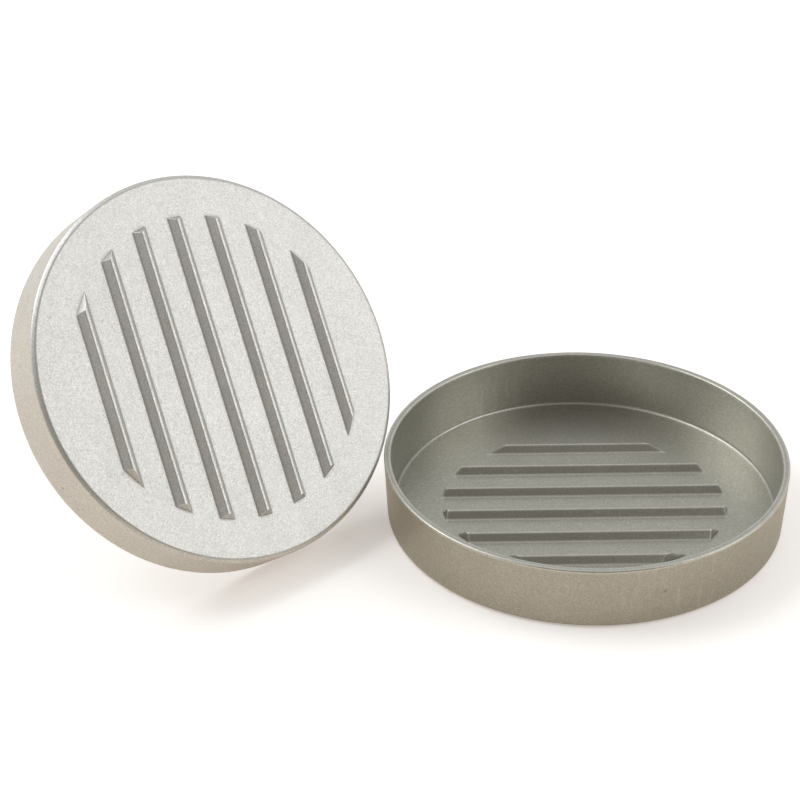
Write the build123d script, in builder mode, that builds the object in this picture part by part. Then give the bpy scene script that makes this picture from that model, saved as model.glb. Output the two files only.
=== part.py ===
from build123d import *
from math import cos, radians, sin
import os

# A hand press for round meat patties: a shallow ribbed pan, and a ribbed plate on a knob.
# The pan stands on the table with its centre at the origin. The press is laid beside it:
# the rear edge of its plate and the end of its knob touch the table, so the ribbed face
# looks up and towards the front. All sizes are in millimetres and degrees, +Z is up.

# Pan
pan_radius = 60.0  # outside, at the rim
pan_foot_radius = 58.9  # outside, at the table
pan_height = 19.8
pan_bore_radius = 57.9  # inside, at the rim
pan_floor_radius = 57.2  # inside, at the floor
pan_floor = 2.2
pan_foot_round = 1.6
pan_corner_round = 0.9
rim_round = 0.5

# Ribs, the same section on the pan and on the plate
rib_height = 2.1
rib_base = 4.4
rib_crest = 0.9
crest_round = 0.4
rib_root = 1.0  # how far a rib is sunk into its floor

pan_rib_count = 6
pan_rib_pitch = 11.9
pan_rib_turn = 0.9  # turn of the pan's ribs about +Z
pan_rib_reach_x = 42.7  # the ends of the pan's ribs lie on an oval
pan_rib_reach_y = 35.7
pan_rib_end_slope = 0.4  # run of a rib's end facet for each unit of its height

plate_rib_count = 7
plate_rib_pitch = 12.3
plate_rib_turn = 9.3  # lean of the plate's ribs out of the vertical, in the face
plate_rib_reach = 45.0  # the ends of the plate's ribs lie on a circle
plate_rib_end_slope = 0.55

# Plate: an open cup, face down when it presses
plate_radius = 57.5
plate_depth = 16.0
plate_edge_run = 1.1
plate_edge_drop = 0.9
plate_skin = 3.2
skirt_wall = 2.6
skirt_draft = 0.5
skirt_round = 0.6
boss_radius = 13.0
boss_draft = 0.8
cup_round = 2.0
boss_round = 0.8
thread_radius = 3.0
thread_play = 0.04
thread_depth = 10.0
drill_point = 1.6

# Where the laid-down press is: the direction that its face looks in, and where the face is
face_azimuth = 41.93
face_elevation = 39.16
face_x = -106.7
face_y = -6.2

# Knob and the pieces that hold it
collar_radius = 13.4
collar_wall = 1.0
collar_height = 5.0
collar_round = 0.4
grip_foot_radius = 12.3
waist_radius = 10.4
waist_height = 15.0  # above the collar's base
bulge_radius = 16.5
bulge_round = 7.0
bore_play = 0.4
recess_radius = 6.9
recess_depth = 12.0
screw_head_radius = 5.0
screw_head_height = 3.9
screw_slot_width = 1.6
screw_slot_depth = 2.0
screw_round = 0.5
screw_tip_gap = 1.0
washer_thickness = 1.6
flat_washer_radius = 6.0
flat_washer_hole = 3.2
lock_washer_radius = 5.7
lock_washer_hole = 3.1
lock_washer_turn = 350.0
cap_play = 0.05
cap_top = 2.0
cap_skirt = 4.0
cap_wall = 1.1
cap_crown = 0.7

# The height of the face's centre follows from the plate's rear edge touching the table.
lean_sin = sin(radians(face_elevation))
lean_cos = cos(radians(face_elevation))
turn_sin = sin(radians(face_azimuth))
turn_cos = cos(radians(face_azimuth))
edge_centre_radius = plate_radius - skirt_round
edge_centre_depth = plate_depth - skirt_round
face_z = edge_centre_depth * lean_sin + edge_centre_radius * lean_cos + skirt_round

# The knob is as long as it takes for its rounded end to touch the table too.
bulge_centre_radius = bulge_radius - bulge_round
bulge_depth = (face_z - bulge_centre_radius * lean_cos - bulge_round) / lean_sin
grip_end = bulge_depth + bulge_round
grip_start = plate_depth + collar_wall
recess_floor = grip_end - recess_depth

# Frame of the press: the face's outward normal, and across and along the plate's ribs
face_centre = Vector(face_x, face_y, face_z)
face_normal = Vector(lean_cos * turn_sin, -lean_cos * turn_cos, lean_sin)
level = Vector(turn_cos, turn_sin, 0)
uphill = Vector(-lean_sin * turn_sin, lean_sin * turn_cos, lean_cos)
rib_lean = radians(plate_rib_turn)
across_ribs = level * cos(rib_lean) - uphill * sin(rib_lean)
press_face = Plane(origin=face_centre, x_dir=across_ribs, z_dir=face_normal)
press_axis = Axis(face_centre, face_normal)
# In this plane x is the distance from the press's axis and y is the depth behind the face.
press_section = Plane(origin=face_centre, x_dir=across_ribs, z_dir=press_face.y_dir)

pan_floor_plane = Plane.XY.offset(pan_floor).rotated((0, 0, pan_rib_turn))


def rib_rows(base, count, pitch):
    """Sketch the rib section on the plane base, once for each of count rows."""
    half_base = rib_base / 2
    half_crest = rib_crest / 2
    first = -(count - 1) / 2 * pitch
    with BuildSketch(base) as rows:
        for row in range(count):
            middle = first + row * pitch
            with BuildLine():
                Polyline(
                    (middle - half_base, -rib_root),
                    (middle - half_base, 0),
                    (middle - half_crest, rib_height),
                    (middle + half_crest, rib_height),
                    (middle + half_base, 0),
                    (middle + half_base, -rib_root),
                    close=True,
                )
            make_face()
        fillet(rows.vertices().group_by(Axis.Y)[-1], radius=crest_round)
    return rows.sketch


def rib_ends(base, reach_x, reach_y, slope):
    """Loft the block that cuts the ribs' ends along an oval, each end sloping inwards."""
    with BuildPart() as block:
        for height in (-rib_root, rib_height):
            inset = height * slope
            with BuildSketch(base.offset(height)):
                Ellipse(reach_x - inset, reach_y - inset)
        loft()
    return block.part


def soften(profile, corner, radius):
    """Round the corner of the profile that lies at the point corner."""
    nearest = profile.vertices().sort_by_distance((*corner, 0))[0]
    fillet(nearest, radius=radius)


def outline(*points):
    """Sketch a closed outline in the press's section, from radii and depths behind the face."""
    with BuildSketch(press_section) as profile:
        with BuildLine():
            Polyline(*points, close=True)
        make_face()
    return profile.sketch


def ring(inner, outer, start, end):
    """Sketch a ring's section: two radii, and two depths behind the face."""
    return outline((inner, start), (outer, start), (outer, end), (inner, end))


# Pan
pan_rib_section = Plane(
    origin=pan_floor_plane.origin, x_dir=pan_floor_plane.y_dir, z_dir=pan_floor_plane.x_dir
)
with BuildPart() as pan_ribs:
    pan_rows = rib_rows(pan_rib_section, pan_rib_count, pan_rib_pitch)
    extrude(pan_rows, amount=pan_rib_reach_x, both=True)
    pan_rib_ends = rib_ends(
        pan_floor_plane, pan_rib_reach_x, pan_rib_reach_y, pan_rib_end_slope
    )
    add(pan_rib_ends, mode=Mode.INTERSECT)

with BuildPart() as pan:
    with BuildSketch(Plane.XZ) as pan_wall:
        with BuildLine():
            Polyline(
                (0, 0),
                (pan_foot_radius, 0),
                (pan_radius, pan_height),
                (pan_bore_radius, pan_height),
                (pan_floor_radius, pan_floor),
                (0, pan_floor),
                close=True,
            )
        make_face()
        soften(pan_wall, (pan_floor_radius, pan_floor), pan_corner_round)
        soften(pan_wall, (pan_foot_radius, 0), pan_foot_round)
        soften(pan_wall, (pan_radius, pan_height), rim_round)
        soften(pan_wall, (pan_bore_radius, pan_height), rim_round)
    revolve(axis=Axis.Z)
    add(pan_ribs.part)
pan.part.label = "pan"

# Press plate: the ribbed face, the skirt round it, and the tapped boss behind it
plate_rib_section = Plane(origin=face_centre, x_dir=across_ribs, z_dir=-press_face.y_dir)
with BuildPart() as plate_ribs:
    plate_rows = rib_rows(plate_rib_section, plate_rib_count, plate_rib_pitch)
    extrude(plate_rows, amount=plate_rib_reach, both=True)
    plate_rib_ends = rib_ends(
        press_face, plate_rib_reach, plate_rib_reach, plate_rib_end_slope
    )
    add(plate_rib_ends, mode=Mode.INTERSECT)

skirt_bore = plate_radius - skirt_wall
thread_end = plate_depth - thread_depth
tapped_radius = thread_radius + thread_play
with BuildPart() as press_plate:
    with BuildSketch(press_section) as plate_wall:
        with BuildLine():
            Polyline(
                (0, 0),
                (plate_radius - plate_edge_run, 0),
                (plate_radius, plate_edge_drop),
                (plate_radius, plate_depth),
                (skirt_bore, plate_depth),
                (skirt_bore - skirt_draft, plate_skin),
                (boss_radius + boss_draft, plate_skin),
                (boss_radius, plate_depth),
                (tapped_radius, plate_depth),
                (tapped_radius, thread_end),
                (0, thread_end - drill_point),
                close=True,
            )
        make_face()
        soften(plate_wall, (plate_radius, plate_depth), skirt_round)
        soften(plate_wall, (skirt_bore, plate_depth), skirt_round)
        soften(plate_wall, (skirt_bore - skirt_draft, plate_skin), cup_round)
        soften(plate_wall, (boss_radius + boss_draft, plate_skin), cup_round)
        soften(plate_wall, (boss_radius, plate_depth), boss_round)
    revolve(axis=press_axis)
    add(plate_ribs.part)
press_plate.part.label = "press_plate"

# Collar: a thin metal cup between the boss and the foot of the knob
shank_bore = thread_radius + bore_play
collar_bore = collar_radius - collar_wall
collar_mouth = plate_depth + collar_height
with BuildPart() as handle_collar:
    with BuildSketch(press_section) as collar_wall_section:
        with BuildLine():
            Polyline(
                (shank_bore, plate_depth),
                (collar_radius, plate_depth),
                (collar_radius, collar_mouth),
                (collar_bore, collar_mouth),
                (collar_bore, grip_start),
                (shank_bore, grip_start),
                close=True,
            )
        make_face()
        soften(collar_wall_section, (collar_radius, plate_depth), collar_round)
        soften(collar_wall_section, (collar_radius, collar_mouth), collar_round)
    revolve(axis=press_axis)
handle_collar.part.label = "handle_collar"

# Grip: a foot inside the collar, a waist, and a bulge that ends in a recess for the screw
with BuildPart() as handle_grip:
    with BuildSketch(press_section):
        with BuildLine():
            Polyline(
                (bulge_centre_radius, grip_end),
                (recess_radius, grip_end),
                (recess_radius, recess_floor),
                (shank_bore, recess_floor),
                (shank_bore, grip_start),
                (grip_foot_radius, grip_start),
                (grip_foot_radius, collar_mouth),
            )
            Spline(
                (grip_foot_radius, collar_mouth),
                (waist_radius, grip_start + waist_height),
                (bulge_radius, bulge_depth),
                tangents=((0, 1), (0, 1)),
            )
            CenterArc((bulge_centre_radius, bulge_depth), bulge_round, 0, 90)
        make_face()
    revolve(axis=press_axis)
handle_grip.part.label = "handle_grip"

# Washers on the floor of the grip's recess, and the long screw that holds the grip on
with BuildPart() as flat_washer:
    flat_top = recess_floor + washer_thickness
    revolve(ring(flat_washer_hole, flat_washer_radius, recess_floor, flat_top), axis=press_axis)
flat_washer.part.label = "flat_washer"

with BuildPart() as lock_washer:
    lock_top = flat_top + washer_thickness
    lock_ring = ring(lock_washer_hole, lock_washer_radius, flat_top, lock_top)
    revolve(lock_ring, axis=press_axis, revolution_arc=lock_washer_turn)
lock_washer.part.label = "lock_washer"

screw_tip = thread_end + screw_tip_gap
head_top = lock_top + screw_head_height
with BuildPart() as handle_screw:
    with BuildSketch(press_section) as screw_section:
        with BuildLine():
            Polyline(
                (0, screw_tip),
                (thread_radius, screw_tip),
                (thread_radius, lock_top),
                (screw_head_radius, lock_top),
                (screw_head_radius, head_top),
                (0, head_top),
                close=True,
            )
        make_face()
        soften(screw_section, (thread_radius, screw_tip), screw_round)
        soften(screw_section, (screw_head_radius, head_top), screw_round)
    revolve(axis=press_axis)
    with BuildSketch(press_face.offset(-head_top)):
        Rectangle(2 * screw_head_radius, screw_slot_width)
    extrude(amount=screw_slot_depth, mode=Mode.SUBTRACT)
handle_screw.part.label = "handle_screw"

# Cap that closes the recess: a crowned disc with a skirt
cap_radius = recess_radius - cap_play
with BuildPart() as handle_cap:
    with BuildSketch(press_section):
        with BuildLine():
            Polyline(
                (0, grip_end + cap_crown),
                (0, grip_end - cap_top),
                (cap_radius - cap_wall, grip_end - cap_top),
                (cap_radius - cap_wall, grip_end - cap_skirt),
                (cap_radius, grip_end - cap_skirt),
                (cap_radius, grip_end),
            )
            TangentArc((0, grip_end + cap_crown), (cap_radius, grip_end), tangent=(1, 0))
        make_face()
    revolve(axis=press_axis)
handle_cap.part.label = "handle_cap"

pieces = (
    pan,
    press_plate,
    handle_collar,
    handle_grip,
    handle_screw,
    flat_washer,
    lock_washer,
    handle_cap,
)
os.makedirs("parts", exist_ok=True)
for piece in pieces:
    export_step(piece.part, f"parts/{piece.part.label}.step")
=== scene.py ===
import math

import bmesh
import bpy
from mathutils import Matrix, Vector


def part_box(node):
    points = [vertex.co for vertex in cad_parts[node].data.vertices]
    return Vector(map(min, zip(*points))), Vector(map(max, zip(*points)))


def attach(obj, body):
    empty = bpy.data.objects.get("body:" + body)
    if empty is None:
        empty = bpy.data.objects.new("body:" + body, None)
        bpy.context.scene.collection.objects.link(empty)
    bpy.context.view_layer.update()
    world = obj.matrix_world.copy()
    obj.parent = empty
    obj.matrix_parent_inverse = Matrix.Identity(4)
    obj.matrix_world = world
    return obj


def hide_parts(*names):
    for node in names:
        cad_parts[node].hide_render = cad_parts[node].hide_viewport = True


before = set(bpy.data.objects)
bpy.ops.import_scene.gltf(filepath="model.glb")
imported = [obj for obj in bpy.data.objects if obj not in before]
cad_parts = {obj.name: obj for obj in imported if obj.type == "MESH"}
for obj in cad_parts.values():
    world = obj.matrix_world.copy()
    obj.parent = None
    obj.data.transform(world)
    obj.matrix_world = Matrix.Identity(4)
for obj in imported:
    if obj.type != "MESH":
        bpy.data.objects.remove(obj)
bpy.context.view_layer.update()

# A patty press: a ribbed pan, and a ribbed press on a turned knob. Both castings are silver-grey.
# Lengths are in millimetres here, and MM turns them into Blender's metres.
MM = 0.001

# ---------------------------------------------------------------- the pan
PAN_RIM = 60.0  # outside radius at the rim
PAN_FOOT = 58.9  # outside radius at the foot
PAN_HEIGHT = 19.8
PAN_BORE = 57.9  # inside radius at the rim
PAN_FLOOR_RADIUS = 57.2
PAN_FLOOR = 2.2  # thickness of the floor
PAN_FOOT_ROUND = 1.5
PAN_RIM_ROUND = 0.45
PAN_CORNER_ROUND = 0.9
PAN_ROWS = 6
PAN_PITCH = 11.9
PAN_TURN = math.radians(0.9)
PAN_REACH = (42.7, 35.7)  # half the length and width of the oval that the rib ends lie on
PAN_END_SLOPE = 0.4
PAN_RIB_FLARE = 0.5

# ---------------------------------------------------------------- a rib, on either casting
RIB_HEIGHT = 2.1
RIB_BASE = 4.4
RIB_CREST = 0.9
RIB_CREST_ROUND = 0.24
RIB_END_ROUND = 0.12
RIB_ROOT = 1.0  # how far a rib goes into the floor before it is welded
RIB_SINK = 0.004  # how far its skirt lies under the floor, so that the two surfaces don't coincide
SKIRT_SPARE = 0.05  # how far the skirt reaches past the flare
END_CLEAR = 0.05  # an end's edges are rounded only above this height
BAR_SPARE = 10.0  # how much a rib's bar is too long before its ends are cut

# ---------------------------------------------------------------- the press plate
PLATE_RADIUS = 57.5
PLATE_DEPTH = 16.0
PLATE_SKIN = 3.2
CHAMFER = (1.1, 0.9)  # across the face, down the side
CHAMFER_ROUND = 0.4
SKIRT_BORE = 54.9
SKIRT_ROUND = 0.6
SKIRT_DRAFT = 0.5
BACK_ROUND = 2.0
BOSS_RADIUS = 13.0
BOSS_ROUND = 0.7
BOSS_DRAFT = 0.8
TAPPED_RADIUS = 3.04
TAPPED_START = 6.0
TAP_POINT = 1.6
PLATE_ROWS = 7
PLATE_PITCH = 12.3
PLATE_REACH = (45.0, 45.0)
PLATE_END_SLOPE = 0.55
PLATE_RIB_FLARE = 0.3
RIB_LEAN = math.radians(9.3)  # how far the ribs lean from straight uphill

# ---------------------------------------------------------------- the knob, by depth from the face
COLLAR_RADIUS = 13.4
COLLAR_WALL = 1.0
COLLAR_MOUTH = 21.0
COLLAR_MIDDLE = 18.5
COLLAR_ROUND = 0.35
COLLAR_LIP_ROUND = 0.2
SHANK_BORE = 3.4
GRIP_START = 17.0
GRIP_FOOT = 12.3
GRIP_FOOT_ROUND = 0.3
FOOT_SLOPE = -0.6
WAIST = 10.4
WAIST_DEPTH = 32.0
WAIST_SLOPES = (0.4, 1.2)  # where the foot's curve ends, and where the bulge's curve starts
BULGE = 16.5
BULGE_ROUND = 7.0
GRIP_END = 70.466
RECESS_RADIUS = 6.9
RECESS_DEPTH = 12.0
RECESS_ROUND = 0.4
CAP_RADIUS = 6.85
CAP_CROWN = 0.7
CAP_SHOULDER = (3.4, 0.53)  # radius, and height over the grip's end
CAP_EDGE_ROUND = 0.2
CAP_LENGTH = 4.0
CAP_TOP = 2.0
CAP_WALL = 1.1

# ---------------------------------------------------------------- fineness of the meshes
CASTING_STEPS = 256
KNOB_STEPS = 160
CAP_STEPS = 128
CORNER_STEPS = 5
FLARE_STEPS = 8
FOOT_POINTS = 8
BULGE_POINTS = 20
ROUND_POINTS = 12
MERGE_GAP = 0.002 * MM
SAME_PLACE = 0.0001 * MM
SAME_FACING = 0.999
SMOOTH_ANGLE = math.radians(35)


# ---------------------------------------------------------------- where the press lies
def middle(node):
    low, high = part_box(node)
    return (Vector(low) + Vector(high)) / 2


def find_press():
    """The face's centre, its outward normal, and the way across its ribs."""
    collar = middle("handle_collar")
    normal = (collar - middle("flat_washer")).normalized()
    centre = collar + normal * COLLAR_MIDDLE * MM
    level = Vector((0, 0, 1)).cross(normal).normalized()
    uphill = normal.cross(level)
    across = level * math.cos(RIB_LEAN) - uphill * math.sin(RIB_LEAN)
    return centre, normal, across


def press_matrix():
    """Carries a piece made with its face at z = 0, looking up, to where the press lies."""
    centre, normal, across = find_press()
    along = normal.cross(across)
    turn = Matrix((across, along, normal)).transposed().to_4x4()
    return Matrix.Translation(centre) @ turn


# ---------------------------------------------------------------- mesh tools
def activate(piece):
    bpy.ops.object.select_all(action="DESELECT")
    piece.select_set(True)
    bpy.context.view_layer.objects.active = piece


def choose(piece, kind, wanted):
    """Select only the verts, edges or faces that wanted() accepts."""
    bpy.ops.mesh.select_mode(type=kind)
    bpy.ops.mesh.select_all(action="DESELECT")
    mesh = bmesh.from_edit_mesh(piece.data)
    items = {"VERT": mesh.verts, "EDGE": mesh.edges, "FACE": mesh.faces}[kind]
    for item in items:
        item.select = bool(wanted(item))
    mesh.select_flush_mode()
    bmesh.update_edit_mesh(piece.data)


def start_outline(name):
    """Add a piece that is one vertex at the origin, and leave it in edit mode."""
    bpy.ops.object.select_all(action="DESELECT")
    bpy.ops.mesh.primitive_plane_add(size=MM)
    piece = bpy.context.object
    piece.name = name
    piece.data.name = name
    bpy.ops.object.mode_set(mode="EDIT")
    bpy.ops.mesh.select_mode(type="VERT")
    bpy.ops.mesh.select_all(action="SELECT")
    bpy.ops.mesh.merge(type="CENTER")
    return piece


def draw_outline(piece, points, closed):
    """Draw through the points by extruding the one vertex; points are in millimetres."""
    points = [Vector(point) * MM for point in points]
    bpy.ops.transform.translate(value=points[0])
    for here, there in zip(points, points[1:]):
        bpy.ops.mesh.extrude_vertices_move(TRANSFORM_OT_translate={"value": there - here})
    if closed:
        ends = (points[0], points[-1])
        choose(piece, "VERT", lambda v: min((v.co - end).length for end in ends) < SAME_PLACE)
        bpy.ops.mesh.edge_face_add()


def round_corner(piece, corner, offset, segments):
    place = Vector(corner) * MM
    choose(piece, "VERT", lambda v: (v.co - place).length < SAME_PLACE)
    bpy.ops.mesh.bevel(offset=offset * MM, segments=segments, affect="VERTICES")


def turned(name, outline, steps, closed=True):
    """Spin an outline of (radius, height, rounding) corners about the z axis.

    An outline that starts and ends on the axis isn't closed.
    """
    piece = start_outline(name)
    draw_outline(piece, [(radius, 0, height) for radius, height, _ in outline], closed)
    for radius, height, rounding in outline:
        if rounding:
            round_corner(piece, (radius, 0, height), rounding, CORNER_STEPS)
    bpy.ops.mesh.select_all(action="SELECT")
    bpy.ops.mesh.spin(steps=steps, angle=math.tau, center=(0, 0, 0), axis=(0, 0, 1))
    bpy.ops.mesh.select_all(action="SELECT")
    bpy.ops.mesh.remove_doubles(threshold=MERGE_GAP)
    bpy.ops.mesh.normals_make_consistent(inside=False)
    bpy.ops.object.mode_set(mode="OBJECT")
    return piece


def rib_bar(name, length, flare):
    """A long bar with a rib's section, lying along x; its root flares into the floor at z = 0."""
    base = RIB_BASE / 2
    crest = RIB_CREST / 2
    skirt = base + flare + SKIRT_SPARE
    half = [(skirt, -RIB_ROOT), (skirt, -RIB_SINK), (base, -RIB_SINK), (crest, RIB_HEIGHT)]
    corners = [(-length, side, height) for side, height in half]
    corners += [(-length, -side, height) for side, height in reversed(half)]
    bar = start_outline(name)
    draw_outline(bar, corners, closed=True)
    for side in (-1, 1):
        round_corner(bar, (-length, side * base, -RIB_SINK), flare, FLARE_STEPS)
        round_corner(bar, (-length, side * crest, RIB_HEIGHT), RIB_CREST_ROUND, CORNER_STEPS)
    bpy.ops.mesh.select_all(action="SELECT")
    bpy.ops.mesh.edge_face_add()
    bpy.ops.mesh.select_all(action="SELECT")
    bpy.ops.mesh.extrude_region_move(TRANSFORM_OT_translate={"value": (2 * length * MM, 0, 0)})
    bpy.ops.mesh.select_all(action="SELECT")
    bpy.ops.mesh.normals_make_consistent(inside=False)
    bpy.ops.object.mode_set(mode="OBJECT")
    return bar


def bounds_cut(edge, facing):
    """Whether an edge above the floor borders the flat cut that looks along facing."""
    on_cut = any(face.normal.dot(facing) > SAME_FACING for face in edge.link_faces)
    return on_cut and max(vert.co.z for vert in edge.verts) > END_CLEAR * MM


def cut_ends(piece, offset, reach, slope):
    """Move a bar to y = offset and cut its ends along an oval, leaning inwards."""
    end = reach[0] * math.sqrt(1 - (offset / reach[1]) ** 2)
    bpy.ops.object.mode_set(mode="EDIT")
    bpy.ops.mesh.select_all(action="SELECT")
    bpy.ops.transform.translate(value=(0, offset * MM, 0))
    for side in (-1, 1):
        level = Vector((side * end / reach[0] ** 2, offset / reach[1] ** 2, 0)).normalized()
        facing = (level + Vector((0, 0, slope))).normalized()
        bpy.ops.mesh.select_all(action="SELECT")
        bpy.ops.mesh.bisect(
            plane_co=Vector((side * end, offset, 0)) * MM,
            plane_no=facing,
            use_fill=True,
            clear_outer=True,
        )
        choose(piece, "EDGE", lambda edge: bounds_cut(edge, facing))
        bpy.ops.mesh.bevel(offset=RIB_END_ROUND * MM, segments=2, affect="EDGES")
    bpy.ops.object.mode_set(mode="OBJECT")


def ribs(name, rows, pitch, reach, slope, flare):
    """All the ribs of one floor: one bar, copied and cut to length, joined as one object."""
    bar = rib_bar(name, max(reach) + BAR_SPARE, flare)
    made = [bar]
    for _ in range(rows - 1):
        copy = bar.copy()
        copy.data = bar.data.copy()
        bpy.context.scene.collection.objects.link(copy)
        made.append(copy)
    for row, piece in enumerate(made):
        activate(piece)
        cut_ends(piece, (row - (rows - 1) / 2) * pitch, reach, slope)
    activate(made[0])
    for piece in made:
        piece.select_set(True)
    bpy.ops.object.join()
    return bpy.context.object


def unite(piece, other, floor):
    """Weld the closed shape other into piece, and let the floor at height floor shade flat."""
    activate(piece)
    weld = piece.modifiers.new("weld", "BOOLEAN")
    weld.operation = "UNION"
    weld.solver = "MANIFOLD"
    weld.object = other
    bpy.ops.object.modifier_apply(modifier=weld.name)
    bpy.data.objects.remove(other)
    bpy.ops.object.mode_set(mode="EDIT")
    height = floor * MM

    def on_floor(face):
        return all(abs(vert.co.z - height) < MERGE_GAP / 2 for vert in face.verts)

    choose(piece, "EDGE", lambda edge: sum(on_floor(face) for face in edge.link_faces) == 1)
    bpy.ops.mesh.mark_sharp()
    bpy.ops.object.mode_set(mode="OBJECT")


def settle(piece, place):
    """Put a finished piece where it belongs, in its mesh, and give it smooth shading."""
    piece.matrix_world = place
    activate(piece)
    bpy.ops.object.transform_apply(location=True, rotation=True, scale=True)
    bpy.ops.object.shade_smooth_by_angle(angle=SMOOTH_ANGLE)
    even = piece.modifiers.new("even_shading", "WEIGHTED_NORMAL")
    even.weight = 100
    even.keep_sharp = True
    bpy.ops.object.modifier_apply(modifier=even.name)


# ---------------------------------------------------------------- pieces
def make_pan():
    outline = [
        (0, 0, 0),
        (PAN_FOOT, 0, PAN_FOOT_ROUND),
        (PAN_RIM, PAN_HEIGHT, PAN_RIM_ROUND),
        (PAN_BORE, PAN_HEIGHT, PAN_RIM_ROUND),
        (PAN_FLOOR_RADIUS, PAN_FLOOR, PAN_CORNER_ROUND),
        (0, PAN_FLOOR, 0),
    ]
    pan = turned("pan_casting", outline, CASTING_STEPS, closed=False)
    rows = ribs("pan_rib", PAN_ROWS, PAN_PITCH, PAN_REACH, PAN_END_SLOPE, PAN_RIB_FLARE)
    turn = Matrix.Rotation(PAN_TURN, 4, "Z")
    rows.matrix_world = Matrix.Translation((0, 0, PAN_FLOOR * MM)) @ turn
    unite(pan, rows, PAN_FLOOR)
    foot = middle("pan")
    foot.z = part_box("pan")[0][2]
    settle(pan, Matrix.Translation(foot))
    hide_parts("pan")
    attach(pan, "base")
    return pan


def make_plate(place):
    back = -PLATE_DEPTH
    outline = [
        (0, 0, 0),
        (PLATE_RADIUS - CHAMFER[0], 0, CHAMFER_ROUND),
        (PLATE_RADIUS, -CHAMFER[1], CHAMFER_ROUND),
        (PLATE_RADIUS, back, SKIRT_ROUND),
        (SKIRT_BORE, back, SKIRT_ROUND),
        (SKIRT_BORE - SKIRT_DRAFT, -PLATE_SKIN, BACK_ROUND),
        (BOSS_RADIUS + BOSS_DRAFT, -PLATE_SKIN, BACK_ROUND),
        (BOSS_RADIUS, back, BOSS_ROUND),
        (TAPPED_RADIUS, back, 0),
        (TAPPED_RADIUS, -TAPPED_START, 0),
        (0, TAP_POINT - TAPPED_START, 0),
    ]
    plate = turned("press_casting", outline, CASTING_STEPS, closed=False)
    rows = ribs("plate_rib", PLATE_ROWS, PLATE_PITCH, PLATE_REACH, PLATE_END_SLOPE, PLATE_RIB_FLARE)
    rows.matrix_world = Matrix.Rotation(math.pi / 2, 4, "Z")
    unite(plate, rows, 0)
    settle(plate, place)
    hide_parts("press_plate")
    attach(plate, "press")
    return plate


def make_collar(place):
    inside = COLLAR_RADIUS - COLLAR_WALL
    outline = [
        (SHANK_BORE, -PLATE_DEPTH, 0),
        (COLLAR_RADIUS, -PLATE_DEPTH, COLLAR_ROUND),
        (COLLAR_RADIUS, -COLLAR_MOUTH, COLLAR_ROUND),
        (inside, -COLLAR_MOUTH, COLLAR_LIP_ROUND),
        (inside, -GRIP_START, 0),
        (SHANK_BORE, -GRIP_START, 0),
    ]
    collar = turned("knob_collar", outline, KNOB_STEPS)
    settle(collar, place)
    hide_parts("handle_collar")
    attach(collar, "press")
    return collar


def bend(share, start, end, start_slope, end_slope):
    """A smooth curve between two radii, with a slope at each end."""
    square, cube = share ** 2, share ** 3
    return (
        (2 * cube - 3 * square + 1) * start
        + (cube - 2 * square + share) * start_slope
        + (3 * square - 2 * cube) * end
        + (cube - square) * end_slope
    )


def grip_side():
    """The knob's side from its foot through its waist to where the bulge rounds over."""
    bulge_depth = GRIP_END - BULGE_ROUND
    points = []
    for number in range(1, FOOT_POINTS + 1):
        share = number / FOOT_POINTS
        depth = COLLAR_MOUTH + share * (WAIST_DEPTH - COLLAR_MOUTH)
        points.append((bend(share, GRIP_FOOT, WAIST, FOOT_SLOPE, WAIST_SLOPES[0]), -depth, 0))
    for number in range(1, BULGE_POINTS + 1):
        share = number / BULGE_POINTS
        depth = WAIST_DEPTH + share * (bulge_depth - WAIST_DEPTH)
        points.append((bend(share, WAIST, BULGE, WAIST_SLOPES[1], 0), -depth, 0))
    for number in range(1, ROUND_POINTS + 1):
        angle = math.pi / 2 * number / ROUND_POINTS
        radius = BULGE - BULGE_ROUND + BULGE_ROUND * math.cos(angle)
        points.append((radius, -bulge_depth - BULGE_ROUND * math.sin(angle), 0))
    return points


def make_grip(place):
    seat = RECESS_DEPTH - GRIP_END
    outline = [
        (SHANK_BORE, -GRIP_START, 0),
        (GRIP_FOOT, -GRIP_START, GRIP_FOOT_ROUND),
        (GRIP_FOOT, -COLLAR_MOUTH, 0),
    ]
    outline += grip_side()
    outline += [
        (RECESS_RADIUS, -GRIP_END, RECESS_ROUND),
        (RECESS_RADIUS, seat, 0),
        (SHANK_BORE, seat, 0),
    ]
    grip = turned("knob_grip", outline, KNOB_STEPS)
    settle(grip, place)
    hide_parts("handle_grip")
    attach(grip, "press")
    return grip


def make_cap(place):
    inside = CAP_RADIUS - CAP_WALL
    outline = [
        (0, -GRIP_END - CAP_CROWN, 0),
        (CAP_SHOULDER[0], -GRIP_END - CAP_SHOULDER[1], 0),
        (CAP_RADIUS, -GRIP_END, CAP_EDGE_ROUND),
        (CAP_RADIUS, CAP_LENGTH - GRIP_END, 0),
        (inside, CAP_LENGTH - GRIP_END, 0),
        (inside, CAP_TOP - GRIP_END, 0),
        (0, CAP_TOP - GRIP_END, 0),
    ]
    cap = turned("knob_cap", outline, CAP_STEPS, closed=False)
    settle(cap, place)
    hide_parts("handle_cap")
    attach(cap, "press")
    return cap


# ---------------------------------------------------------------- material tools
def add_node(tree, kind, **settings):
    node = tree.nodes.new(kind)
    for name, value in settings.items():
        setattr(node, name, value)
    return node


def new_group(name, inputs, outputs):
    """An empty node group with float inputs and their defaults, and named float outputs."""
    group = bpy.data.node_groups.new(name, "ShaderNodeTree")
    for label, value in inputs.items():
        socket = group.interface.new_socket(label, in_out="INPUT", socket_type="NodeSocketFloat")
        socket.default_value = value
    for label in outputs:
        group.interface.new_socket(label, in_out="OUTPUT", socket_type="NodeSocketFloat")
    entry = group.nodes.new("NodeGroupInput")
    leave = group.nodes.new("NodeGroupOutput")
    return group, entry, leave


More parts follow.
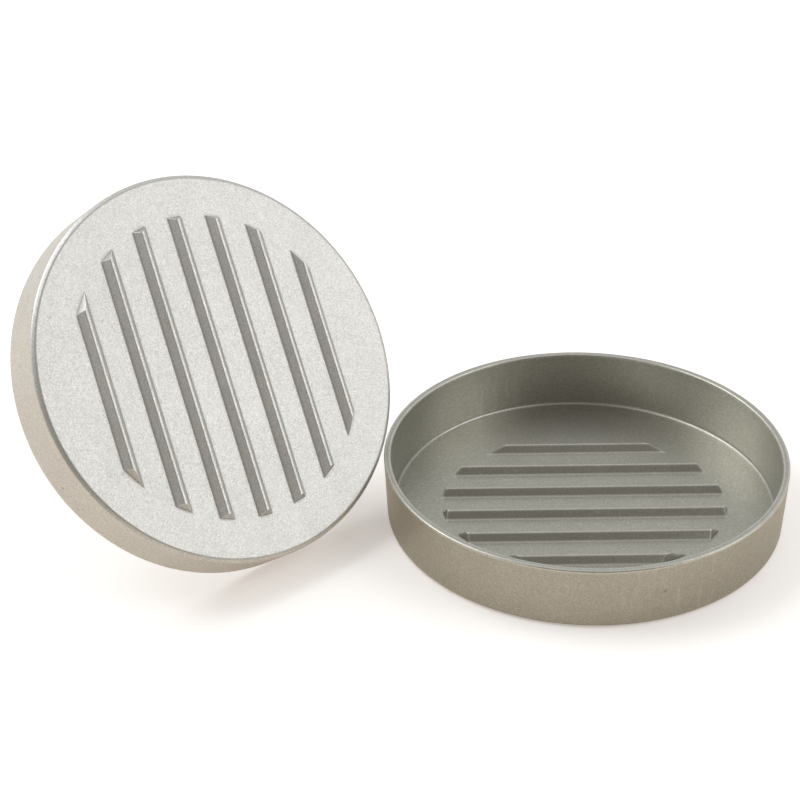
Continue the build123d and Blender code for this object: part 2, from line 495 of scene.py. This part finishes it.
def math_node(tree, operation, first, second=None, clamp=False):
    """A Math node, with numbers set on it and sockets linked to it; gives its output."""
    node = add_node(tree, "ShaderNodeMath", operation=operation, use_clamp=clamp)
    for place, value in enumerate((first, second)):
        if value is None:
            continue
        if isinstance(value, (int, float)):
            node.inputs[place].default_value = value
        else:
            tree.links.new(value, node.inputs[place])
    return node.outputs[0]


def ramp(tree, value, low, high, to_low=0.0, to_high=1.0):
    """Carry low..high over to to_low..to_high, held at its ends; gives the output."""
    node = add_node(tree, "ShaderNodeMapRange", clamp=True)
    tree.links.new(value, node.inputs["Value"])
    node.inputs["From Min"].default_value = low
    node.inputs["From Max"].default_value = high
    node.inputs["To Min"].default_value = to_low
    node.inputs["To Max"].default_value = to_high
    return node.outputs[0]


def noise(tree, vector, scale, detail, roughness=0.5):
    node = add_node(tree, "ShaderNodeTexNoise")
    tree.links.new(vector, node.inputs["Vector"])
    node.inputs["Scale"].default_value = scale
    node.inputs["Detail"].default_value = detail
    node.inputs["Roughness"].default_value = roughness
    return node.outputs["Fac"]


def cell_pattern(tree, vector, scale, channel):
    """A Voronoi node, and one channel of its cells' random colours."""
    cells = add_node(tree, "ShaderNodeTexVoronoi", feature="F1")
    tree.links.new(vector, cells.inputs["Vector"])
    cells.inputs["Scale"].default_value = scale
    split = tree.nodes.new("ShaderNodeSeparateColor")
    tree.links.new(cells.outputs["Color"], split.inputs["Color"])
    return cells, split.outputs[channel]


def mapping(tree, vector, label, value):
    """A Mapping node with one of its inputs set; gives its output."""
    node = add_node(tree, "ShaderNodeMapping")
    node.inputs[label].default_value = value
    tree.links.new(vector, node.inputs["Vector"])
    return node.outputs[0]


# ---------------------------------------------------------------- shared effects
# Patterns, by how many of their cells go into a metre.
FINE_GRAIN = 2500.0
COARSE_GRAIN = 900.0
MOTTLING = 90.0
FLAKES = 4300.0
EDGE_PATCHES = 240.0
SPECKS = 300.0
STREAKS = 900.0
STREAK_PATCHES = 45.0
STREAK_DRAW = (1.0, 1.0, 0.06)
TURNED_LINES = 7000.0
LINE_DRAW = (0.03, 0.03, 1.0)
PITS = 2600.0
CLOUDS = 70.0

# What a pattern's values are spread out from, to 0..1.
NOISE_SPAN = (0.3, 0.7)
GRAIN_SPAN = (0.35, 0.65)
EDGE_TURN = (0.998, 0.93)  # cosine of how far the surface turns
# ambient-occlusion values where the painted shade in inside corners starts and where it is full
PAINTED_SHADE_SPAN = (0.96, 0.78)
SPECK_EDGE = (0.22, 0.08)
STREAK_SPAN = (0.52, 0.72)
STREAK_PATCH_SPAN = (0.5, 0.62)
FINE_SHARE = 0.8
COARSE_SHARE = 0.2


def grain_group():
    """Coat grain: fine orange-peel height, broad mottling, and bright flakes."""
    group, entry, leave = new_group(
        "coat_grain", {"Flake Share": 0.1}, ("Height", "Mottle", "Flakes")
    )
    place = group.nodes.new("ShaderNodeTexCoord").outputs["Object"]
    fine = noise(group, place, FINE_GRAIN, detail=2.0, roughness=0.6)
    coarse = noise(group, place, COARSE_GRAIN, detail=2.0)
    blend = math_node(
        group,
        "ADD",
        math_node(group, "MULTIPLY", fine, FINE_SHARE),
        math_node(group, "MULTIPLY", coarse, COARSE_SHARE),
    )
    group.links.new(blend, leave.inputs["Height"])
    mottle = noise(group, place, MOTTLING, detail=3.0, roughness=0.55)
    group.links.new(mottle, leave.inputs["Mottle"])
    cells, tone = cell_pattern(group, place, FLAKES, "Red")
    limit = math_node(group, "SUBTRACT", 1.0, entry.outputs["Flake Share"])
    group.links.new(math_node(group, "GREATER_THAN", tone, limit), leave.inputs["Flakes"])
    return group


def edge_group():
    """Edge mask: where the surface turns within Radius, broken up as handling breaks it. On the
    coats it also serves as a painted highlight along edges.
    """
    group, entry, leave = new_group("edge_mask", {"Radius": 0.0005, "Break Up": 0.5}, ("Edges",))
    soft = add_node(group, "ShaderNodeBevel", samples=6)
    group.links.new(entry.outputs["Radius"], soft.inputs["Radius"])
    true_normal = group.nodes.new("ShaderNodeNewGeometry").outputs["Normal"]
    dot = add_node(group, "ShaderNodeVectorMath", operation="DOT_PRODUCT")
    group.links.new(soft.outputs["Normal"], dot.inputs[0])
    group.links.new(true_normal, dot.inputs[1])
    turn = ramp(group, dot.outputs["Value"], *EDGE_TURN)
    place = group.nodes.new("ShaderNodeTexCoord").outputs["Object"]
    patches = ramp(group, noise(group, place, EDGE_PATCHES, detail=3.0), *GRAIN_SPAN)
    keep = math_node(group, "SUBTRACT", 1.0, entry.outputs["Break Up"])
    broken = math_node(group, "MULTIPLY", patches, entry.outputs["Break Up"])
    share = math_node(group, "ADD", keep, broken)
    edges = math_node(group, "MULTIPLY", turn, share, clamp=True)
    group.links.new(edges, leave.inputs["Edges"])
    return group


def painted_shade_group():
    """Painted shade: an ambient-occlusion mask that is full in inside corners."""
    group, entry, leave = new_group("painted_shade_mask", {"Reach": 0.0012}, ("Painted Shade",))
    shade = add_node(group, "ShaderNodeAmbientOcclusion", samples=8, only_local=True)
    group.links.new(entry.outputs["Reach"], shade.inputs["Distance"])
    group.links.new(ramp(group, shade.outputs["AO"], *PAINTED_SHADE_SPAN), leave.inputs["Painted Shade"])
    return group


def marks_group():
    """Handling marks: sparse dark specks, and faint streaks drawn along z."""
    group, entry, leave = new_group("handling_marks", {"Speck Share": 0.02}, ("Specks", "Streaks"))
    place = group.nodes.new("ShaderNodeTexCoord").outputs["Object"]
    cells, tone = cell_pattern(group, place, SPECKS, "Green")
    limit = math_node(group, "SUBTRACT", 1.0, entry.outputs["Speck Share"])
    chosen = math_node(group, "GREATER_THAN", tone, limit)
    near = ramp(group, cells.outputs["Distance"], *SPECK_EDGE)
    group.links.new(math_node(group, "MULTIPLY", chosen, near), leave.inputs["Specks"])
    narrow = mapping(group, place, "Scale", STREAK_DRAW)
    lines = ramp(group, noise(group, narrow, STREAKS, detail=2.0), *STREAK_SPAN)
    patches = ramp(group, noise(group, place, STREAK_PATCHES, detail=2.0), *STREAK_PATCH_SPAN)
    group.links.new(math_node(group, "MULTIPLY", lines, patches), leave.inputs["Streaks"])
    return group


def place_group(tree, group, **values):
    """Place a node group in a material, with that material's own values."""
    node = add_node(tree, "ShaderNodeGroup", node_tree=group)
    for label, value in values.items():
        node.inputs[label.replace("_", " ")].default_value = value
    return node


def blend_colour(tree, share, first, second):
    """Mix two colours, each a colour or a socket, by a share that is a socket."""
    node = add_node(tree, "ShaderNodeMix", data_type="RGBA")
    tree.links.new(share, node.inputs["Factor"])
    for label, value in (("A", first), ("B", second)):
        socket = [s for s in node.inputs if s.name == label and s.type == "RGBA"][0]
        if isinstance(value, tuple):
            socket.default_value = (*value, 1)
        else:
            tree.links.new(value, socket)
    return [s for s in node.outputs if s.type == "RGBA"][0]


def new_material(name, metallic):
    material = bpy.data.materials.new(name)
    material.use_nodes = True
    shader = material.node_tree.nodes["Principled BSDF"]
    shader.inputs["Metallic"].default_value = metallic
    return material, material.node_tree, shader


def add_bump(tree, shader, height, strength, distance):
    bump = add_node(tree, "ShaderNodeBump")
    bump.inputs["Strength"].default_value = strength
    bump.inputs["Distance"].default_value = distance
    tree.links.new(height, bump.inputs["Height"])
    tree.links.new(bump.outputs["Normal"], shader.inputs["Normal"])


# ---------------------------------------------------------------- materials
# Colours: each coat's tone, its rubbed and highlighted edges (a painted highlight) and flakes, and
# the low parts of its grain. The pan's tones are the same coat painted darker and warmer, as
# painted shade.
PAN_SHADED_TONE = (0.545, 0.54, 0.485)
PAN_WORN_AND_LIT = (0.95, 0.945, 0.90)
PAN_SHADED_LOW = (0.42, 0.415, 0.37)
PLATE_TONE = (0.79, 0.79, 0.77)
PLATE_WORN_AND_LIT = (0.95, 0.95, 0.94)
PLATE_LOW = (0.58, 0.58, 0.555)
STEEL_DARK = (0.44, 0.44, 0.45)
STEEL_LIGHT = (0.62, 0.62, 0.62)
STEEL_EDGE = (0.75, 0.75, 0.75)
GRIP_BLACK = (0.018, 0.018, 0.019)
CAP_BLACK = (0.022, 0.022, 0.023)

# How strongly each effect shows, from 0 to 1.
MOTTLE_SHOWS = 0.16
GRAIN_SHOWS = 0.84
# edges lightened, partly rubbed and partly a painted highlight
WEAR_AND_HIGHLIGHT_SHOWS = 0.95
SPECKS_SHOW = 0.6
STREAKS_SHOW = 0.14
# how dark the painted shade in inside corners is
PAINTED_SHADE_SHOWS = 0.7
RUBBING_SHOWS = 0.6
# this darkness also gives the colour of the painted shade in inside corners
SPECK_AND_SHADE_DARKNESS = 0.45
FADED = 1.35  # how much lighter the plastic is in patches, and where it is rubbed
RUBBED = 1.9
GRAIN_ROUGHNESS = 0.07
EDGE_POLISH = 0.1
STEEL_ROUGHNESS = (0.24, 0.4)
HANDLED_ROUGHNESS = 0.06
PIT_ROUGHNESS = 0.04


def coat_material(name, groups, base, light, dark, rough, metallic, wear_and_highlight_radius, sparkle):
    """Silver-grey baked coat on cast aluminium, brighter along its edges: partly rubbed, partly a
    painted highlight.
    """
    material, tree, shader = new_material(name, metallic)
    grain = place_group(tree, groups["grain"], Flake_Share=0.2)
    # edges: rubbed, and a painted highlight
    edges = place_group(tree, groups["edge"], Radius=wear_and_highlight_radius, Break_Up=0.4)
    # painted shade in inside corners
    painted_shade = place_group(tree, groups["corner_shade"], Reach=0.0010)
    marks = place_group(tree, groups["marks"], Speck_Share=0.012)
    # this dark colour also paints the shade in inside corners
    speck_and_shade = tuple(value * SPECK_AND_SHADE_DARKNESS for value in dark)

    def share(node, label, amount):
        return math_node(tree, "MULTIPLY", node.outputs[label], amount)

    mottle = ramp(tree, grain.outputs["Mottle"], *NOISE_SPAN)
    height = ramp(tree, grain.outputs["Height"], *GRAIN_SPAN)
    patchy = math_node(tree, "MULTIPLY", mottle, MOTTLE_SHOWS)
    fine = math_node(tree, "MULTIPLY", height, GRAIN_SHOWS)
    mottled = blend_colour(tree, math_node(tree, "ADD", patchy, fine), dark, base)
    flaked = blend_colour(tree, share(grain, "Flakes", sparkle), mottled, light)
    # lighten edges: partly rubbed, partly a painted highlight
    worn_and_lit = blend_colour(tree, share(edges, "Edges", WEAR_AND_HIGHLIGHT_SHOWS), flaked, light)
    specked = blend_colour(tree, share(marks, "Specks", SPECKS_SHOW), worn_and_lit, speck_and_shade)
    streaked = blend_colour(tree, share(marks, "Streaks", STREAKS_SHOW), specked, light)
    # darken inside corners: painted shade
    finished = blend_colour(tree, share(painted_shade, "Painted Shade", PAINTED_SHADE_SHOWS), streaked, speck_and_shade)
    tree.links.new(finished, shader.inputs["Base Color"])
    hollows = rough + GRAIN_ROUGHNESS
    peaks = rough - GRAIN_ROUGHNESS
    rough_grain = ramp(tree, grain.outputs["Height"], *NOISE_SPAN, hollows, peaks)
    polished = share(edges, "Edges", EDGE_POLISH)
    tree.links.new(math_node(tree, "SUBTRACT", rough_grain, polished), shader.inputs["Roughness"])
    add_bump(tree, shader, grain.outputs["Height"], strength=0.5, distance=0.00003)
    return material


def brushed_steel(name, groups, axis_turn):
    """Thin stainless steel, turned: fine lines round the press's axis."""
    material, tree, shader = new_material(name, 1.0)
    place = tree.nodes.new("ShaderNodeTexCoord").outputs["Object"]
    turn = mapping(tree, place, "Rotation", axis_turn)
    squeeze = mapping(tree, turn, "Scale", LINE_DRAW)
    lines = noise(tree, squeeze, TURNED_LINES, detail=3.0, roughness=0.6)
    edges = place_group(tree, groups["edge"], Radius=0.0003, Break_Up=0.3)
    metal = blend_colour(tree, ramp(tree, lines, *NOISE_SPAN), STEEL_DARK, STEEL_LIGHT)
    bright = blend_colour(tree, edges.outputs["Edges"], metal, STEEL_EDGE)
    tree.links.new(bright, shader.inputs["Base Color"])
    line_roughness = ramp(tree, lines, *NOISE_SPAN, *STEEL_ROUGHNESS)
    tree.links.new(line_roughness, shader.inputs["Roughness"])
    add_bump(tree, shader, lines, strength=0.25, distance=0.00002)
    return material


def moulded_plastic(name, groups, base, rough, texture):
    """Black moulded plastic with a fine spark-eroded texture and rubbed edges."""
    material, tree, shader = new_material(name, 0.0)
    place = tree.nodes.new("ShaderNodeTexCoord").outputs["Object"]
    pits = noise(tree, place, PITS, detail=2.0, roughness=0.6)
    clouds = noise(tree, place, CLOUDS, detail=3.0)
    edges = place_group(tree, groups["edge"], Radius=0.0008, Break_Up=0.6)
    worn_share = math_node(tree, "MULTIPLY", edges.outputs["Edges"], RUBBING_SHOWS)
    faded = tuple(value * FADED for value in base)
    pale = tuple(value * RUBBED for value in base)
    tone = blend_colour(tree, ramp(tree, clouds, *NOISE_SPAN), base, faded)
    rubbed = blend_colour(tree, worn_share, tone, pale)
    tree.links.new(rubbed, shader.inputs["Base Color"])
    smoother = rough - HANDLED_ROUGHNESS
    rougher = rough + HANDLED_ROUGHNESS
    handled = ramp(tree, clouds, *GRAIN_SPAN, smoother, rougher)
    pitted = ramp(tree, pits, *NOISE_SPAN, -PIT_ROUGHNESS, PIT_ROUGHNESS)
    tree.links.new(math_node(tree, "ADD", handled, pitted), shader.inputs["Roughness"])
    shader.inputs["Specular IOR Level"].default_value = 0.45
    add_bump(tree, shader, pits, texture, distance=0.00004)
    return material


def dress(piece, material):
    piece.data.materials.clear()
    piece.data.materials.append(material)


# ---------------------------------------------------------------- camera
FOCAL_LENGTH = 103.5
SENSOR_WIDTH = 36.0
CAMERA_PLACE = Vector((-0.05512, -0.57333, 0.38923))
CAMERA_DIP = math.radians(31.44)
CAMERA_ROLL = math.radians(-0.26)


def build_camera():
    data = bpy.data.cameras.new("product_camera")
    data.lens = FOCAL_LENGTH
    data.sensor_width = SENSOR_WIDTH
    data.clip_start = 0.01
    data.clip_end = 20.0
    camera = bpy.data.objects.new("product_camera", data)
    bpy.context.scene.collection.objects.link(camera)
    tilt = Matrix.Rotation(math.pi / 2 - CAMERA_DIP, 4, "X")
    roll = Matrix.Rotation(CAMERA_ROLL, 4, "Z")
    camera.matrix_world = Matrix.Translation(CAMERA_PLACE) @ tilt @ roll
    bpy.context.scene.camera = camera


# ---------------------------------------------------------------- light
STUDIO_BRIGHT = (0.95, 0.95, 0.93)
STUDIO_FRONT = (0.17, 0.145, 0.115)
STUDIO_LEFT = (0.62, 0.60, 0.56)
STUDIO_STRENGTH = 0.7
STUDIO_DEPTH = (-0.8, 0.5)  # from the front's tone to the bright one
STUDIO_SIDE = (-0.2, -0.7)  # from the dark front to the half bright left
PAPER_SEEN = (1.12, 1.12, 1.11)
PAPER_BOUNCE = (0.80, 0.735, 0.665)
GLOW_SEEN = (0.30, 0.28, 0.275)
GLOW_BOUNCE = (0.195, 0.165, 0.135)
FLOOR_SIZE = 6.0
FLOOR_DROP = 0.0002
SOFTBOX_SIDE = 0.8


def build_softbox(name, place, aim, power):
    data = bpy.data.lights.new(name, "AREA")
    data.shape = "RECTANGLE"
    data.size = SOFTBOX_SIDE
    data.size_y = SOFTBOX_SIDE
    data.energy = power
    light = bpy.data.objects.new(name, data)
    bpy.context.scene.collection.objects.link(light)
    light.location = place
    light.rotation_euler = (Vector(aim) - Vector(place)).to_track_quat("-Z", "Y").to_euler()


def build_world():
    """A pale studio: bright behind, dark in front, and half bright at the front on the left."""
    world = bpy.data.worlds.new("studio")
    world.use_nodes = True
    tree = world.node_tree
    back = tree.nodes["Background"]
    way = tree.nodes.new("ShaderNodeTexCoord").outputs["Generated"]
    split = tree.nodes.new("ShaderNodeSeparateXYZ")
    tree.links.new(way, split.inputs[0])
    depth = ramp(tree, split.outputs["Y"], *STUDIO_DEPTH)
    side = ramp(tree, split.outputs["X"], *STUDIO_SIDE)
    front = blend_colour(tree, side, STUDIO_FRONT, STUDIO_LEFT)
    tone = blend_colour(tree, depth, front, STUDIO_BRIGHT)
    tree.links.new(tone, back.inputs["Color"])
    back.inputs["Strength"].default_value = STUDIO_STRENGTH
    bpy.context.scene.world = world


def build_floor():
    """Pale paper. The castings see it darker and warmer than the camera does."""
    bpy.ops.object.select_all(action="DESELECT")
    bpy.ops.mesh.primitive_plane_add(size=FLOOR_SIZE, location=(0, 0, -FLOOR_DROP))
    floor = bpy.context.object
    floor.name = "studio_floor"
    material, tree, shader = new_material("studio_paper", 0.0)
    seen = tree.nodes.new("ShaderNodeLightPath").outputs["Is Camera Ray"]
    paper = blend_colour(tree, seen, PAPER_BOUNCE, PAPER_SEEN)
    glow = blend_colour(tree, seen, GLOW_BOUNCE, GLOW_SEEN)
    tree.links.new(paper, shader.inputs["Base Color"])
    tree.links.new(glow, shader.inputs["Emission Color"])
    shader.inputs["Emission Strength"].default_value = 1.0
    shader.inputs["Roughness"].default_value = 0.9
    shader.inputs["Specular IOR Level"].default_value = 0.0
    floor.data.materials.append(material)


# ---------------------------------------------------------------- the object
build_camera()
build_world()
build_floor()
build_softbox("overhead_left", place=(-0.75, 0.25, 0.8), aim=(-0.04, 0, 0), power=5.0)
build_softbox("key_right", place=(0.9, -0.2, 0.75), aim=(-0.08, 0, 0.04), power=3.0)

press_place = press_matrix()
pan_piece = make_pan()
plate_piece = make_plate(press_place)
collar_piece = make_collar(press_place)
grip_piece = make_grip(press_place)
cap_piece = make_cap(press_place)

groups = {
    "grain": grain_group(),
    "edge": edge_group(),
    "corner_shade": painted_shade_group(),
    "marks": marks_group(),
}
axis_turn = tuple(press_place.to_3x3().inverted().to_euler())
# the pan's tones are darker and warmer than the plate's same coat: painted shade
pan_coat = coat_material(
    "pan_coat", groups, PAN_SHADED_TONE, PAN_WORN_AND_LIT, PAN_SHADED_LOW,
    # the wider edge reach paints the pan's rim land brighter, as a painted highlight
    rough=0.4, metallic=0.96, wear_and_highlight_radius=0.0013, sparkle=0.2,
)
plate_coat = coat_material(
    "plate_coat", groups, PLATE_TONE, PLATE_WORN_AND_LIT, PLATE_LOW,
    rough=0.42, metallic=0.75, wear_and_highlight_radius=0.0007, sparkle=0.4,
)
steel = brushed_steel("collar_steel", groups, axis_turn)
zinc = brushed_steel("screw_zinc", groups, axis_turn)
grip_plastic = moulded_plastic("grip_plastic", groups, GRIP_BLACK, rough=0.42, texture=0.35)
cap_plastic = moulded_plastic("cap_plastic", groups, CAP_BLACK, rough=0.3, texture=0.15)

dress(pan_piece, pan_coat)
dress(plate_piece, plate_coat)
dress(collar_piece, steel)
dress(grip_piece, grip_plastic)
dress(cap_piece, cap_plastic)
for node in ("handle_screw", "flat_washer", "lock_washer"):
    dress(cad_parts[node], zinc)

bpy.context.scene.view_settings.view_transform = "Standard"
